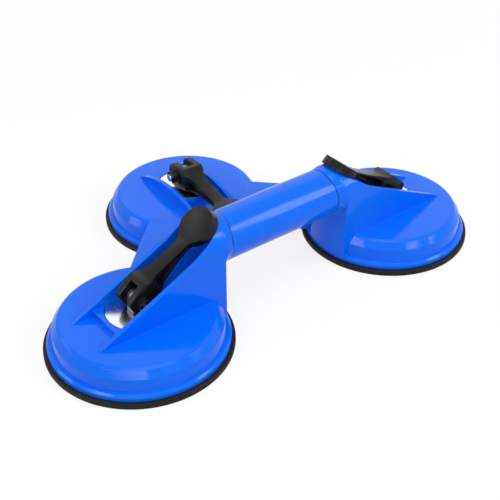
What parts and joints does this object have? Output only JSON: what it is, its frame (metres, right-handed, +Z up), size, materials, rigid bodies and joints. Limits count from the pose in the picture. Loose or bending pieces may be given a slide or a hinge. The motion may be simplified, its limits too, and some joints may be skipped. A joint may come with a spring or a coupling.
{
  "type": "suction lifter",
  "caption": "Suction lifter with cam-lever pads on a moulded housing with a round grip, for carrying glass, tiles and smooth panels.",
  "frame": {"origin": "middle of the footprint, on the plane of the pads' contact rings", "axes": "+X along the grip, +Y from the grip to the side cup, +Z up, away from the surface gripped"},
  "size_m": [0.3208, 0.2168, 0.076],
  "materials": {
    "housing_plastic": "glossy moulded blue plastic",
    "pad_rubber": "matt black rubber",
    "pad_plate_steel": "zinc-plated steel",
    "stud_steel": "zinc-plated steel",
    "seat_zinc": "bright zinc-plated steel",
    "lever_plastic": "satin black moulded plastic",
    "pin_steel": "bright steel",
    "clip_steel": "spring steel"
  },
  "bodies": {
    "housing": {"body": "housing_plastic", "left_pad": "pad_rubber", "left_seat_plate": "seat_zinc", "right_pad": "pad_rubber", "right_seat_plate": "seat_zinc", "side_pad": "pad_rubber", "side_seat_plate": "seat_zinc"},
    "left_stud": {"left_pull_stud": "stud_steel", "left_pad_plate": "pad_plate_steel", "left_lever_pin": "pin_steel", "left_pin_clip": "clip_steel"},
    "left_handle": {"left_lever": "lever_plastic"},
    "right_stud": {"right_pull_stud": "stud_steel", "right_pad_plate": "pad_plate_steel", "right_lever_pin": "pin_steel", "right_pin_clip": "clip_steel"},
    "right_handle": {"right_lever": "lever_plastic"},
    "side_stud": {"side_pull_stud": "stud_steel", "side_pad_plate": "pad_plate_steel", "side_lever_pin": "pin_steel", "side_pin_clip": "clip_steel"},
    "side_handle": {"side_lever": "lever_plastic"}
  },
  "joints": [
    {"name": "left_stud_slide", "type": "slide", "parent": "housing", "child": "left_stud", "axis": [0, 0, -1], "range_m": [0, 0.00114], "deforming": ["left_pad"]},
    {"name": "left_lever_hinge", "type": "hinge", "parent": "left_stud", "child": "left_handle", "pos_m": [-0.102, -0.05, 0.03442], "axis": [0, -1, 0], "range_deg": [0, 60]},
    {"name": "right_stud_slide", "type": "slide", "parent": "housing", "child": "right_stud", "axis": [0, 0, -1], "range_m": [0, 0.00114], "deforming": ["right_pad"]},
    {"name": "right_lever_hinge", "type": "hinge", "parent": "right_stud", "child": "right_handle", "pos_m": [0.102, -0.05, 0.03442], "axis": [0, 1, 0], "range_deg": [0, 60]},
    {"name": "side_stud_slide", "type": "slide", "parent": "housing", "child": "side_stud", "axis": [0, 0, -1], "range_m": [0, 0.0019], "deforming": ["side_pad"]},
    {"name": "side_lever_hinge", "type": "hinge", "parent": "side_stud", "child": "side_handle", "pos_m": [0, 0.05, 0.03518], "axis": [-1, 0, 0], "range_deg": [0, 100]}
  ],
  "couplings": [
    {"joint": "left_lever_hinge", "follows": "left_stud_slide", "rad_per_m": 918.59},
    {"joint": "right_lever_hinge", "follows": "right_stud_slide", "rad_per_m": 918.59},
    {"joint": "side_lever_hinge", "follows": "side_stud_slide", "rad_per_m": 918.59}
  ]
}
